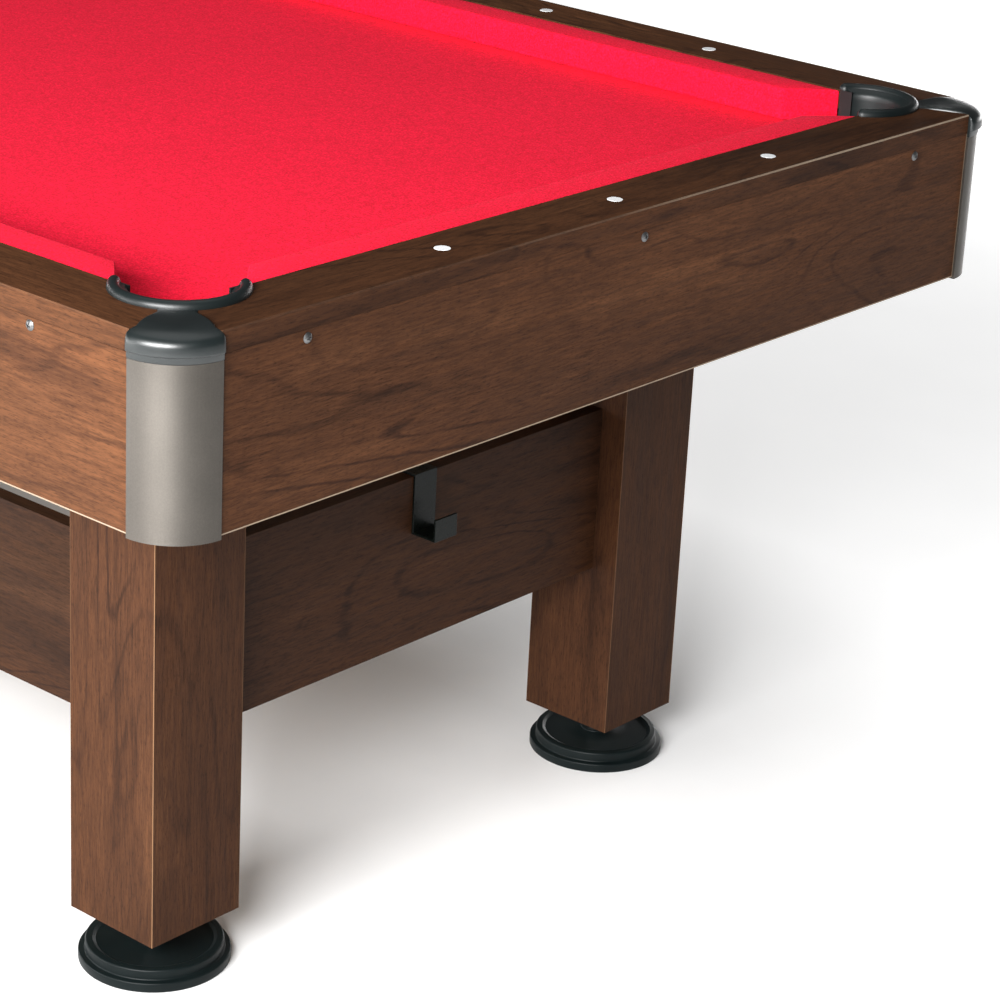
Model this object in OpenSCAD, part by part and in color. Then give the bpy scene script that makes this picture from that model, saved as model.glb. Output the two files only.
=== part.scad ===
// Seven-foot pool table with an internal ball return and screw levellers.
// +X along the table, +Y across it, +Z up, origin on the floor at the centre.
// The modules draw the piece at the +X, +Y side; at_corner() mirrors it to the others.

/* [Playing area] */
// Distance between neighbouring sight dots, an eighth of the playing length
sight_gap = 247.65; // [244:0.05:254]
// Height of the bed cloth above the floor
bed_top = 757; // [745:1:770]
// Thickness of the bed cloth
cloth_t = 1; // [0.8:0.1:1.2]
// Thickness of the bed board
bed_t = 22; // [18:1:25]

/* [Rails] */
// Height of the rail's upper face above the bed cloth
rail_rise = 37; // [36:0.5:39]
// Width of the wooden strip from the cushion to the outer face
strip_w = 76; // [74:1:80]
// Thickness of the rail strip
strip_t = 21; // [18:1:24]
// Width of the covered cushion from its nose to the wood
cushion_w = 44; // [42:1:46]
// Diameter of a sight dot
sight_d = 15.6; // [12:0.2:18]

/* [Pockets] */
// Inner radius of a pocket liner
pocket_r = 44; // [42:0.5:45]
// Wall thickness of a pocket liner
liner_t = 3.5; // [3:0.5:4]
// Width of the rolled lip around a pocket
lip_w = 12; // [10:1:14]
// Height of the rolled lip above the rail
lip_h = 7; // [5:0.5:8]
// Distance from a corner cushion end to the corner of the noses
corner_cut = 83; // [78:1:88]
// Half of the side pocket mouth between the noses
side_mouth = 62; // [60:1:66]

/* [Cabinet] */
// Thickness of the apron boards
apron_t = 18; // [16:1:20]
// Height of the aprons' lower edge above the floor
apron_bottom = 610.5; // [600:0.5:611]
// Distance from the corner to each edge of a corner post
post_r = 54.5; // [52:0.5:56]
// How far a corner post stands proud of the aprons
post_proud = 2.5; // [2:0.5:3]
// Height of the joint between a corner post and its cap
cap_joint = 769; // [766:0.5:770]
// How far a corner cap stands proud of the aprons
cap_proud = 7; // [6:0.5:8]

/* [Legs] */
// Width of a square leg
leg_w = 120; // [110:1:124]
// Thickness of a leg's boards
leg_t = 18; // [15:1:18]
// Distance from the end of the table to the legs' outer faces
leg_inset_x = 235.5; // [230:0.5:240]
// Distance from the side of the table to the legs' outer faces
leg_inset_y = 200.5; // [198:0.5:204]
// Height of the legs' lower ends above the floor
leg_bottom = 55; // [54:1:60]
// Height of the stretchers' lower edges
stretcher_bottom = 252.5; // [240:0.5:260]
// Height of the stretchers' upper edges
stretcher_top = 445; // [430:1:460]
// Thickness of the stretchers
stretcher_t = 18; // [16:1:20]

/* [Levellers] */
// Diameter of a leveller pad
pad_d = 156; // [150:1:156]
// Thickness of a leveller pad
pad_t = 22; // [20:1:22]
// Diameter of a leveller stud
stud_d = 12; // [10:1:12]
// Length of a leveller stud
stud_len = 100; // [90:1:105]

/* [Hidden] */
$fn = 64;

// Overall sizes
half_l = 4 * sight_gap;
half_w = 2 * sight_gap;
rail_w = cushion_w + strip_w;
out_x = half_l + rail_w;
out_y = half_w + rail_w;
rail_top = bed_top + rail_rise;
strip_bottom = rail_top - strip_t;
board_top = bed_top - cloth_t;
board_bottom = board_top - bed_t;
wood_x = half_l + cushion_w;
wood_y = half_w + cushion_w;
slip = 0.2;
through = 1;

// Rounded corners
turn_x = out_x - post_r;
turn_y = out_y - post_r;
strip_turn_r = post_r - 4;
post_t = 3.8;
tab_len = 25;
tab_t = 3;
post_bottom = apron_bottom - 2.5;

// Pockets: the liner's centre stands this far outside the nose lines
corner_out = 13.5;
corner_x = half_l + corner_out;
corner_y = half_w + corner_out;
lip_mid_r = pocket_r + 19 - lip_w / 2;
liner_r = pocket_r + liner_t;
seat_r = liner_r + 1;
liner_bottom = board_bottom - 42;
lip_sweep = 190;
lip_step = 15;
liner_gap = 5;
wing_t = 2.2;
wing_gap = 0.6;
wing_reach = 31.6;
wing_z = [bed_top + 0.3, rail_top - 0.5];

// Cushion end and section
corner_back = 461;
corner_back_x = corner_back + half_l - half_w;
side_back = side_mouth - 10;
cushion_gap = 0.4;
cushion_drop = 1.2;
nose_r = 3;

// Blocks under the strips
block_in = cushion_w + slip;
block_out = rail_w - apron_t - slip;
block_long = [75, corner_x - 64];
block_end = corner_y - 64;

// Beams and legs
beam_h = 40;
beam_bottom = board_bottom - beam_h;
beam_w = [90, 60];
leg_x = out_x - leg_inset_x - leg_w / 2;
leg_y = out_y - leg_inset_y - leg_w / 2;
beam_x = [leg_x, 270];
beam_half = out_y - apron_t - 0.8;
block_h = 45;
end_stretcher_x = out_x - leg_inset_x - 33.5;
side_stretcher_y = out_y - leg_inset_y - 42;

// Levellers
nut_flange_r = 20;
nut_flange_t = 2;
nut_r = 9.5;
nut_h = 25;
run_gap = 0.06;
socket_bottom = 8;
socket_r = 18;
socket_top = pad_t + 3;
hex_r = 10;
hex_h = 7;
hex_gap = 0.5;
pad_bevel = 6;

// Ball return
ball_d = 57.15;
gutter_in = 462;
gutter_out = 584;
gutter_t = 3;
gutter_wall = 30;
gutter_low = apron_bottom + 2.5;
gutter_high = beam_bottom - ball_d - 4;
gutter_far = half_l + 62;
gutter_near = -half_l + 6;
gutter_run = leg_x + 1050;
gutter_tilt = atan((gutter_high - gutter_low) / gutter_run);
box_back = half_l - 4;
box_front = out_x - apron_t - 5;
box_half = gutter_out + 3;
box_t = 3;
box_wall = 34;
box_floor = apron_bottom + 0.5;
box_back_top = beam_bottom - 4;
hatch_half = 280;
hatch = [645, 715];
hatch_r = 15;

// Fasteners
screw_z = strip_bottom - 7.5;
screw_head_r = 5;
screw_head_h = 2.6;
screw_r = 2;
screw_len = 30;
slot_w = 1.1;
end_screw_y = [-460, 0, 460];
side_screw_x = [-933, -311, 311, 933];
rail_bolt_w = 74;
rail_bolt_x = [150, 500, 880];
rail_bolt_y = [-380, 0, 380];
rail_bolt_r = 4;
rail_bolt_tip = strip_bottom - 5;
bolt_head_h = 5.5;
bolt_head_r = 7;
leg_bolt_r = 5;
leg_bolt_side = 25;
leg_bolt_len = 75;
leg_head_r = 9;
leg_head_h = 6.5;
stretcher_bolt_z = [stretcher_bottom + 45, stretcher_top - 45];
stretcher_bolt_len = 60;

// Triangle hook on the end stretcher
hook_w = 34;
hook_t = 2.5;
hook_bottom = 380;
hook_reach = 31;
hook_lip = 25;
hook_back = 22;

// Colours
walnut = [0.36, 0.21, 0.14];
dark_walnut = [0.30, 0.17, 0.12];
fibreboard = [0.72, 0.58, 0.42];
red = [0.85, 0.06, 0.14];
black = [0.09, 0.10, 0.10];
silver = [0.62, 0.60, 0.56];
zinc = [0.70, 0.71, 0.72];
white = [0.95, 0.95, 0.95];

// Mirrors a +X, +Y piece to the side given by the two signs
module at_corner(sx, sy) {
    mirror([sx < 0 ? 1 : 0, 0, 0]) {
        mirror([0, sy < 0 ? 1 : 0, 0]) {
            children();
        }
    }
}

module at_every_corner() {
    for (sx = [-1, 1]) {
        for (sy = [-1, 1]) {
            at_corner(sx, sy) children();
        }
    }
}

module slab(x, y, z) {
    translate([x[0], y[0], z[0]]) cube([x[1] - x[0], y[1] - y[0], z[1] - z[0]]);
}

module rod(r, z) {
    translate([0, 0, z[0]]) cylinder(r = r, h = z[1] - z[0]);
}

module hex_rod(r, z) {
    translate([0, 0, z[0]]) cylinder(r = r, h = z[1] - z[0], $fn = 6);
}

// ---- Cabinet ----

module screw_holes_end(r) {
    for (y = end_screw_y) {
        translate([out_x - screw_len, y, screw_z]) {
            rotate([0, 90, 0]) cylinder(r = r, h = screw_len + through);
        }
    }
}

module screw_holes_side(r) {
    for (x = side_screw_x) {
        translate([x, out_y - screw_len, screw_z]) {
            rotate([-90, 0, 0]) cylinder(r = r, h = screw_len + through);
        }
    }
}

module apron_side() {
    color(walnut) difference() {
        slab([-turn_x + slip, turn_x - slip], [out_y - apron_t, out_y],
             [apron_bottom, strip_bottom - slip]);
        screw_holes_side(screw_r + slip);
    }
}

module apron_end() {
    color(walnut) difference() {
        slab([out_x - apron_t, out_x], [-turn_y + slip, turn_y - slip],
             [apron_bottom, strip_bottom - slip]);
        screw_holes_end(screw_r + slip);
    }
}

// Opening with round ends for reaching the returned balls
module hatch_hole() {
    slab([out_x - apron_t - through, out_x + through],
         [-hatch_half + hatch_r, hatch_half - hatch_r], hatch);
    slab([out_x - apron_t - through, out_x + through],
         [-hatch_half, hatch_half], [hatch[0] + hatch_r, hatch[1] - hatch_r]);
    for (y = [-hatch_half + hatch_r, hatch_half - hatch_r]) {
        for (z = [hatch[0] + hatch_r, hatch[1] - hatch_r]) {
            translate([out_x - apron_t - through, y, z]) {
                rotate([0, 90, 0]) cylinder(r = hatch_r, h = apron_t + 2 * through);
            }
        }
    }
}

module apron_hatch() {
    color(walnut) difference() {
        apron_end();
        hatch_hole();
    }
}

// Quarter ring about the corner's turning centre
module quarter_ring(r_in, r_out, z) {
    translate([turn_x, turn_y, z[0]]) {
        rotate_extrude(angle = 90) {
            translate([r_in, 0]) square([r_out - r_in, z[1] - z[0]]);
        }
    }
}

// Flange that runs behind one apron
module post_flange(z) {
    back = post_r - apron_t - slip;
    translate([turn_x, turn_y, 0]) {
        slab([slip, tab_t + slip], [back - tab_t, post_r - 1], z);
        slab([-tab_len, tab_t + slip], [back - tab_t, back], z);
    }
}

module corner_post() {
    z = [post_bottom, cap_joint];
    color(silver) {
        quarter_ring(post_r + post_proud - post_t, post_r + post_proud, z);
        post_flange(z);
        translate([turn_x, turn_y, 0]) mirror([1, -1, 0]) translate([-turn_x, -turn_y, 0]) {
            post_flange(z);
        }
    }
}

// Section of the cap: bulging skirt that curls over to the top plate
function cap_section() =
    let (r = post_r + cap_proud, top = rail_top + 3, crown = 17, drop = 18, tuck = 2.2,
         collar_r = post_r + post_proud + 0.9, foot = cap_joint + slip)
    concat(
        [[strip_turn_r + 0.6, foot], [collar_r, foot], [collar_r, top - drop - tuck]],
        [for (a = [-90:30:-30]) [r - tuck + tuck * cos(a), top - drop + tuck * sin(a)]],
        [for (a = [0:9:90]) [r - crown + crown * cos(a), top - drop + drop * sin(a)]],
        [[strip_turn_r - 8, top], [strip_turn_r - 8, rail_top + slip],
         [strip_turn_r + 0.6, rail_top + slip]]
    );

// Outline of the cap's top plate, from its neck at the pocket to the corner
function cap_plan() = let (edge = post_r - 10) [
    [-22, 2], [-16, 8], [-12, 19], [-9, 28], [-4, 41], [0, edge],
    [edge * cos(67), edge * sin(67)], [edge * cos(45), edge * sin(45)],
    [edge * cos(23), edge * sin(23)],
    [edge, 0], [41, -4], [28, -9], [19, -12], [8, -16], [2, -22]
];

module corner_cap() {
    color(black) difference() {
        union() {
            translate([turn_x, turn_y, 0]) {
                rotate_extrude(angle = 90) polygon(cap_section());
            }
            translate([turn_x, turn_y, rail_top + slip]) {
                linear_extrude(3 - slip) polygon(cap_plan());
            }
        }
        translate([corner_x, corner_y, 0]) {
            rod(lip_mid_r + lip_w / 2 + slip, [rail_top - through, rail_top + 10]);
        }
    }
}

// ---- Bed ----

module corner_pocket_seats(z) {
    at_every_corner() translate([corner_x, corner_y, 0]) rod(seat_r, z);
}

module side_pocket_seats(z) {
    for (sy = [-1, 1]) {
        translate([0, sy * wood_y, 0]) rod(seat_r, z);
    }
}

module rail_bolt_places() {
    for (sy = [-1, 1]) {
        for (x = rail_bolt_x) {
            for (sx = [-1, 1]) {
                translate([sx * x, sy * (half_w + rail_bolt_w), 0]) children();
            }
        }
    }
    for (sx = [-1, 1]) {
        for (y = rail_bolt_y) {
            translate([sx * (half_l + rail_bolt_w), y, 0]) children();
        }
    }
}

module bed_board() {
    board_x = out_x - apron_t - 7;
    board_y = out_y - apron_t - 7;
    z = [board_bottom - through, board_top + through];
    color(fibreboard) difference() {
        slab([-board_x, board_x], [-board_y, board_y], [board_bottom, board_top]);
        corner_pocket_seats(z);
        side_pocket_seats(z);
        for (sy = [-1, 1]) {
            at_corner(1, sy) slab([-seat_r, seat_r], [wood_y, board_y + through], z);
        }
        rail_bolt_places() rod(rail_bolt_r + 0.3, z);
    }
}

module bed_cloth() {
    edge = 2;
    z = [board_top - through, bed_top + through];
    color(red) difference() {
        slab([edge - wood_x, wood_x - edge], [edge - wood_y, wood_y - edge],
             [board_top, bed_top]);
        corner_pocket_seats(z);
        side_pocket_seats(z);
    }
}

module cross_beams() {
    color(fibreboard) difference() {
        for (i = [0, 1]) {
            for (sx = [-1, 1]) {
                translate([sx * beam_x[i], 0, 0]) {
                    slab([-beam_w[i] / 2, beam_w[i] / 2], [-beam_half, beam_half],
                         [beam_bottom, board_bottom]);
                }
            }
        }
        at_every_corner() leg_bolt_places() {
            rod(leg_bolt_r + slip, [beam_bottom - through, board_bottom + through]);
            rod(leg_head_r + 1.5, [board_bottom - leg_head_h - 1, board_bottom + through]);
        }
    }
}

// ---- Rails ----

// Flat ring of the rails with stepped-back round corners for the caps
module rail_ring(z) {
    difference() {
        union() {
            slab([-turn_x, turn_x], [-out_y, out_y], z);
            slab([-out_x, out_x], [-turn_y, turn_y], z);
            at_every_corner() translate([turn_x, turn_y, 0]) rod(strip_turn_r, z);
        }
        slab([-wood_x, wood_x], [-wood_y, wood_y], [z[0] - through, z[1] + through]);
    }
}

module sight_holes() {
    z = [rail_top - 2, rail_top + through];
    rail_sight_places() rod(sight_d / 2 + 0.05, z);
}

module rail_sight_places() {
    back = cushion_w + strip_w / 2 - 1;
    for (sy = [-1, 1]) {
        for (i = [-3:3]) {
            if (i != 0) {
                translate([i * sight_gap, sy * (half_w + back), 0]) children();
            }
        }
    }
    for (sx = [-1, 1]) {
        for (i = [-1:1]) {
            translate([sx * (half_l + back), i * sight_gap, 0]) children();
        }
    }
}

module rail_part() {
    color(dark_walnut) difference() {
        intersection() {
            rail_ring([strip_bottom, rail_top]);
            children();
        }
        corner_pocket_seats([strip_bottom - through, rail_top + through]);
        side_pocket_seats([strip_bottom - through, rail_top + through]);
        sight_holes();
    }
}

// Mitre lines run from the table's outer corner at 45 degrees
module rail_long() {
    reach = out_x + through;
    rail_part() {
        translate([0, 0, strip_bottom - through]) linear_extrude(strip_t + 2 * through) {
            polygon([[slip / 2, 0], [out_x - out_y - slip, 0],
                     [reach - slip, out_y + through], [slip / 2, out_y + through]]);
        }
    }
}

module rail_end() {
    rail_part() {
        translate([0, 0, strip_bottom - through]) linear_extrude(strip_t + 2 * through) {
            polygon([[out_x - out_y, 0], [out_x + through, out_y + through],
                     [out_x + through, -out_y - through]]);
        }
    }
}

module rail_blocks() {
    z = [board_top, strip_bottom];
    color(fibreboard) difference() {
        union() {
            at_every_corner() {
                slab(block_long, [half_w + block_in, half_w + block_out], z);
            }
            for (sx = [-1, 1]) {
                at_corner(sx, 1) slab([half_l + block_in, half_l + block_out],
                                      [-block_end, block_end], z);
            }
        }
        rail_bolt_places() rod(rail_bolt_r + 0.05, [z[0] - through, rail_bolt_tip + through]);
        for (s = [-1, 1]) {
            at_corner(s, 1) screw_holes_end(screw_r + 0.05);
            at_corner(1, s) screw_holes_side(screw_r + 0.05);
        }
    }
}

module rail_sights() {
    color(white) rail_sight_places() rod(sight_d / 2, [rail_top - 2, rail_top + 0.2]);
}

// ---- Cushions ----

// Section from the nose (first coordinate 0) back to the wood
function cushion_section() = [
    [3, bed_top + cushion_gap], [cushion_w - slip, bed_top + cushion_gap],
    [cushion_w - slip, rail_top - cushion_gap],
    [nose_r, rail_top - cushion_drop],
    [nose_r * (1 - sin(45)), rail_top - cushion_drop - nose_r * (1 - cos(45))],
    [0, rail_top - cushion_drop - nose_r], [0, bed_top + 22]
];

module cushion_long() {
    color(red) intersection() {
        translate([0, half_w, 0]) rotate([90, 0, 90]) {
            linear_extrude(half_l) polygon(cushion_section());
        }
        linear_extrude(rail_top) {
            polygon([[side_mouth, half_w], [half_l - corner_cut, half_w],
                     [corner_back_x, wood_y], [side_back, wood_y]]);
        }
    }
}

module cushion_end() {
    color(red) intersection() {
        translate([half_l, half_w, 0]) rotate([90, 0, 0]) {
            linear_extrude(2 * half_w) polygon(cushion_section());
        }
        linear_extrude(rail_top) {
            polygon([[half_l, half_w - corner_cut], [wood_x, corner_back],
                     [wood_x, -corner_back], [half_l, corner_cut - half_w]]);
        }
    }
}

// ---- Pocket liners ----

// Wall and rolled lip in one outline, so the turned solid has no faces in common with itself
function liner_section() = concat(
    [[pocket_r, liner_bottom], [liner_r, liner_bottom], [liner_r, rail_top]],
    [for (a = [0:lip_step:150]) [lip_mid_r + lip_w / 2 * cos(a), rail_top + lip_h * sin(a)]],
    [[pocket_r, rail_top - 2]]
);

// Liner about its own axis with the closed back towards +X
module pocket_liner() {
    reach = lip_mid_r + lip_w;
    mouth = [reach * cos(lip_sweep / 2), reach * sin(lip_sweep / 2)];
    color(black) difference() {
        rotate_extrude() polygon(liner_section());
        translate([0, 0, board_top - 2]) linear_extrude(100) {
            polygon([[0, 0], mouth, [-reach, reach], [-reach, -reach], [mouth[0], -mouth[1]]]);
        }
    }
}

// Flat ends that lie on the rails and close the gaps between a liner and its cushions
module corner_pocket() {
    wing_in = wood_y - slip - wing_t;
    wing_out = wood_y - slip;
    end_x = corner_x - wing_reach;
    translate([corner_x, corner_y, 0]) rotate([0, 0, 45]) pocket_liner();
    color(black) {
        slab([corner_back_x + wing_gap, end_x], [wing_in, wing_out], wing_z);
        slab([wing_in + half_l - half_w, wing_out + half_l - half_w],
             [corner_back + wing_gap, end_x - half_l + half_w], wing_z);
    }
}

module side_pocket() {
    translate([0, wood_y, 0]) rotate([0, 0, 90]) pocket_liner();
    color(black) {
        for (sx = [-1, 1]) {
            at_corner(sx, 1) slab([liner_r - 0.5, side_back - wing_gap],
                                  [wood_y - slip - wing_t, wood_y - slip], wing_z);
        }
    }
}

// ---- Ball return ----

// One open channel that falls gently towards -X
module ball_gutter() {
    run = gutter_far - gutter_near;
    translate([gutter_near, 0, gutter_low]) rotate([0, -gutter_tilt, 0]) {
        slab([0, run], [gutter_in, gutter_out], [0, gutter_t]);
        slab([0, run], [gutter_in, gutter_in + gutter_t], [0, gutter_wall]);
        slab([0, run], [gutter_out - gutter_t, gutter_out], [0, gutter_wall]);
        slab([run - gutter_t, run], [gutter_in, gutter_out], [0, gutter_wall]);
    }
}

module ball_gutters() {
    color(black) {
        for (sy = [-1, 1]) {
            at_corner(1, sy) ball_gutter();
        }
    }
}

// Tray behind the hatch; its back wall opens where the gutters run in
module ball_box() {
    x = [-box_front, -box_back];
    y = [-box_half, box_half];
    top = box_floor + box_wall;
    color(black) difference() {
        union() {
            slab(x, y, [box_floor, top]);
            slab([x[1] - box_t, x[1]], y, [box_floor, box_back_top]);
        }
        slab([x[0] + box_t, x[1] - box_t], [y[0] + box_t, y[1] - box_t],
             [box_floor + box_t - 1, box_back_top + through]);
        for (sy = [-1, 1]) {
            at_corner(1, sy) slab([x[1] - box_t - through, x[1] + through],
                                  [gutter_in, gutter_out],
                                  [box_floor + box_t - 1, box_back_top + through]);
        }
    }
}

// ---- Legs and stretchers ----

module leg_bolt_places() {
    for (s = [-1, 1]) {
        translate([leg_x + s * leg_bolt_side, leg_y, 0]) children();
    }
}

// Bolts from the hollow legs into the stretchers' ends
module stretcher_bolt(r, head_r) {
    for (z = stretcher_bolt_z) {
        translate([end_stretcher_x - stretcher_t / 2, leg_y - leg_w / 2 + leg_t, z]) {
            rotate([90, 0, 0]) cylinder(r = r, h = stretcher_bolt_len);
            if (head_r > 0) {
                translate([0, 0.2, 0]) rotate([-90, 0, 0]) cylinder(r = head_r, h = bolt_head_h);
                rotate([-90, 0, 0]) cylinder(r = r, h = 1);
            }
        }
        translate([leg_x - leg_w / 2 + leg_t, side_stretcher_y - stretcher_t / 2, z]) {
            rotate([0, -90, 0]) cylinder(r = r, h = stretcher_bolt_len);
            if (head_r > 0) {
                translate([0.2, 0, 0]) rotate([0, 90, 0]) cylinder(r = head_r, h = bolt_head_h);
                rotate([0, 90, 0]) cylinder(r = r, h = 1);
            }
        }
    }
}

module leg() {
    inner = leg_w / 2 - leg_t;
    color(walnut) difference() {
        translate([leg_x, leg_y, 0]) difference() {
            slab([-leg_w / 2, leg_w / 2], [-leg_w / 2, leg_w / 2], [leg_bottom, beam_bottom]);
            slab([-inner, inner], [-inner, inner],
                 [leg_bottom - through, beam_bottom + through]);
        }
        stretcher_bolt(rail_bolt_r + slip, 0);
    }
}

module leg_blocks() {
    fit = leg_w / 2 - leg_t - slip;
    color(fibreboard) at_every_corner() difference() {
        translate([leg_x, leg_y, 0]) {
            slab([-fit, fit], [-fit, fit], [leg_bottom, leg_bottom + block_h]);
            slab([-fit, fit], [-fit, fit], [beam_bottom - block_h, beam_bottom]);
        }
        leg_bolt_places() {
            rod(leg_bolt_r + 0.05, [beam_bottom - block_h - through, beam_bottom + through]);
        }
        translate([leg_x, leg_y, 0]) {
            rod(nut_flange_r + slip, [leg_bottom - through, leg_bottom + nut_flange_t + 0.05]);
            rod(nut_r + 0.05, [leg_bottom - through, leg_bottom + block_h + through]);
        }
    }
}

module stretcher_end() {
    span = leg_y - leg_w / 2 - slip;
    color(walnut) difference() {
        slab([end_stretcher_x - stretcher_t, end_stretcher_x], [-span, span],
             [stretcher_bottom, stretcher_top]);
        for (sy = [-1, 1]) {
            at_corner(1, sy) stretcher_bolt(rail_bolt_r + 0.05, 0);
        }
    }
}

module stretcher_side() {
    span = leg_x - leg_w / 2 - slip;
    color(walnut) difference() {
        slab([-span, span], [side_stretcher_y - stretcher_t, side_stretcher_y],
             [stretcher_bottom, stretcher_top]);
        for (sx = [-1, 1]) {
            at_corner(sx, 1) stretcher_bolt(rail_bolt_r + 0.05, 0);
        }
    }
}

// ---- Levellers ----

module leveller_pad() {
    r = pad_d / 2;
    color(black) translate([leg_x, leg_y, 0]) rotate_extrude() {
        polygon([[0, 0], [r - 1.5, 0], [r, 1.5], [r, pad_t - pad_bevel - 6],
                 [r - 2, pad_t - pad_bevel - 4], [r - pad_bevel, pad_t - pad_bevel],
                 [r - pad_bevel - 3, pad_t], [socket_r + 4, pad_t],
                 [socket_r, socket_top], [stud_d / 2 + run_gap, socket_top],
                 [stud_d / 2 + run_gap, socket_bottom - 1], [0, socket_bottom - 1]]);
    }
}

module leveller_stud() {
    hex_z = socket_top + hex_gap;
    color(zinc) translate([leg_x, leg_y, 0]) {
        rod(stud_d / 2, [socket_bottom, socket_bottom + stud_len]);
        hex_rod(hex_r, [hex_z, hex_z + hex_h]);
    }
}

module leveller_nuts() {
    color(zinc) at_every_corner() translate([leg_x, leg_y, 0]) difference() {
        union() {
            rod(nut_flange_r, [leg_bottom, leg_bottom + nut_flange_t]);
            rod(nut_r, [leg_bottom, leg_bottom + nut_h]);
        }
        rod(stud_d / 2 + run_gap, [leg_bottom - through, leg_bottom + nut_h + through]);
    }
}

// ---- Hook ----

module rack_hook() {
    front = end_stretcher_x + slip;
    back = end_stretcher_x - stretcher_t - slip;
    top = stretcher_top + slip;
    color(black) rotate([90, 0, 0]) translate([0, 0, -hook_w / 2]) linear_extrude(hook_w) {
        polygon([
            [back, top - hook_back], [back, top], [front, top], [front, hook_bottom],
            [front + hook_reach + hook_t, hook_bottom],
            [front + hook_reach + hook_t, hook_bottom + hook_lip],
            [front + hook_reach, hook_bottom + hook_lip],
            [front + hook_reach, hook_bottom + hook_t],
            [front + hook_t, hook_bottom + hook_t], [front + hook_t, top + hook_t],
            [back - hook_t, top + hook_t], [back - hook_t, top - hook_back]
        ]);
    }
}

// ---- Fasteners ----

// Cross-recessed screw whose head stands on the plane Z = 0
module cross_screw() {
    difference() {
        union() {
            translate([0, 0, -screw_len + 1]) cylinder(r = screw_r, h = screw_len);
            intersection() {
                cylinder(r = screw_head_r, h = screw_head_h);
                translate([0, 0, screw_head_h - 7]) sphere(r = 7);
            }
        }
        for (a = [0, 90]) {
            rotate([0, 0, a + 20]) translate([-2.5, -slot_w / 2, screw_head_h - 1.4]) {
                cube([5, slot_w, 2]);
            }
        }
    }
}

module apron_screws() {
    color(zinc) {
        for (s = [-1, 1]) {
            at_corner(s, 1) {
                for (y = end_screw_y) {
                    translate([out_x, y, screw_z]) rotate([0, 90, 0]) cross_screw();
                }
            }
            at_corner(1, s) {
                for (x = side_screw_x) {
                    translate([x, out_y, screw_z]) rotate([-90, 0, 0]) cross_screw();
                }
            }
        }
    }
}

module rail_bolts() {
    color(zinc) rail_bolt_places() {
        hex_rod(bolt_head_r, [board_bottom - bolt_head_h - slip, board_bottom - slip]);
        rod(rail_bolt_r, [board_bottom - bolt_head_h, rail_bolt_tip]);
    }
}

module frame_bolts() {
    top = board_bottom - 0.5;
    color(zinc) at_every_corner() {
        leg_bolt_places() {
            hex_rod(leg_head_r, [top - leg_head_h, top]);
            rod(leg_bolt_r, [top - leg_bolt_len, top]);
        }
        stretcher_bolt(rail_bolt_r, bolt_head_r);
    }
}

at_corner(1, -1) apron_side();  // apron_front
at_corner(1, 1) apron_side();  // apron_back
at_corner(1, 1) apron_end();  // apron_right
at_corner(-1, 1) apron_hatch();  // apron_left
at_corner(1, -1) corner_post();  // corner_post_front_right
at_corner(-1, -1) corner_post();  // corner_post_front_left
at_corner(1, 1) corner_post();  // corner_post_back_right
at_corner(-1, 1) corner_post();  // corner_post_back_left
at_corner(1, -1) corner_cap();  // corner_cap_front_right
at_corner(-1, -1) corner_cap();  // corner_cap_front_left
at_corner(1, 1) corner_cap();  // corner_cap_back_right
at_corner(-1, 1) corner_cap();  // corner_cap_back_left
bed_board();
bed_cloth();
cross_beams();
rail_blocks();
at_corner(1, 1) rail_end();  // rail_end_right
at_corner(-1, 1) rail_end();  // rail_end_left
at_corner(1, -1) rail_long();  // rail_front_right
at_corner(-1, -1) rail_long();  // rail_front_left
at_corner(1, 1) rail_long();  // rail_back_right
at_corner(-1, 1) rail_long();  // rail_back_left
at_corner(1, 1) cushion_end();  // cushion_end_right
at_corner(-1, 1) cushion_end();  // cushion_end_left
at_corner(1, -1) cushion_long();  // cushion_front_right
at_corner(-1, -1) cushion_long();  // cushion_front_left
at_corner(1, 1) cushion_long();  // cushion_back_right
at_corner(-1, 1) cushion_long();  // cushion_back_left
at_corner(1, -1) corner_pocket();  // corner_pocket_front_right
at_corner(-1, -1) corner_pocket();  // corner_pocket_front_left
at_corner(1, 1) corner_pocket();  // corner_pocket_back_right
at_corner(-1, 1) corner_pocket();  // corner_pocket_back_left
at_corner(1, -1) side_pocket();  // side_pocket_front
at_corner(1, 1) side_pocket();  // side_pocket_back
ball_gutters();
ball_box();
at_corner(1, -1) leg();  // leg_front_right
at_corner(-1, -1) leg();  // leg_front_left
at_corner(1, 1) leg();  // leg_back_right
at_corner(-1, 1) leg();  // leg_back_left
leg_blocks();
at_corner(1, -1) stretcher_side();  // stretcher_front
at_corner(1, 1) stretcher_side();  // stretcher_back
at_corner(1, 1) stretcher_end();  // stretcher_right
at_corner(-1, 1) stretcher_end();  // stretcher_left
at_corner(1, -1) leveller_pad();  // leveller_pad_front_right
at_corner(-1, -1) leveller_pad();  // leveller_pad_front_left
at_corner(1, 1) leveller_pad();  // leveller_pad_back_right
at_corner(-1, 1) leveller_pad();  // leveller_pad_back_left
at_corner(1, -1) leveller_stud();  // leveller_stud_front_right
at_corner(-1, -1) leveller_stud();  // leveller_stud_front_left
at_corner(1, 1) leveller_stud();  // leveller_stud_back_right
at_corner(-1, 1) leveller_stud();  // leveller_stud_back_left
leveller_nuts();
rack_hook();
rail_sights();
apron_screws();
rail_bolts();
frame_bolts();
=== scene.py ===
import math

import bpy
import numpy as np
from mathutils import Matrix, Vector, geometry


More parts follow.
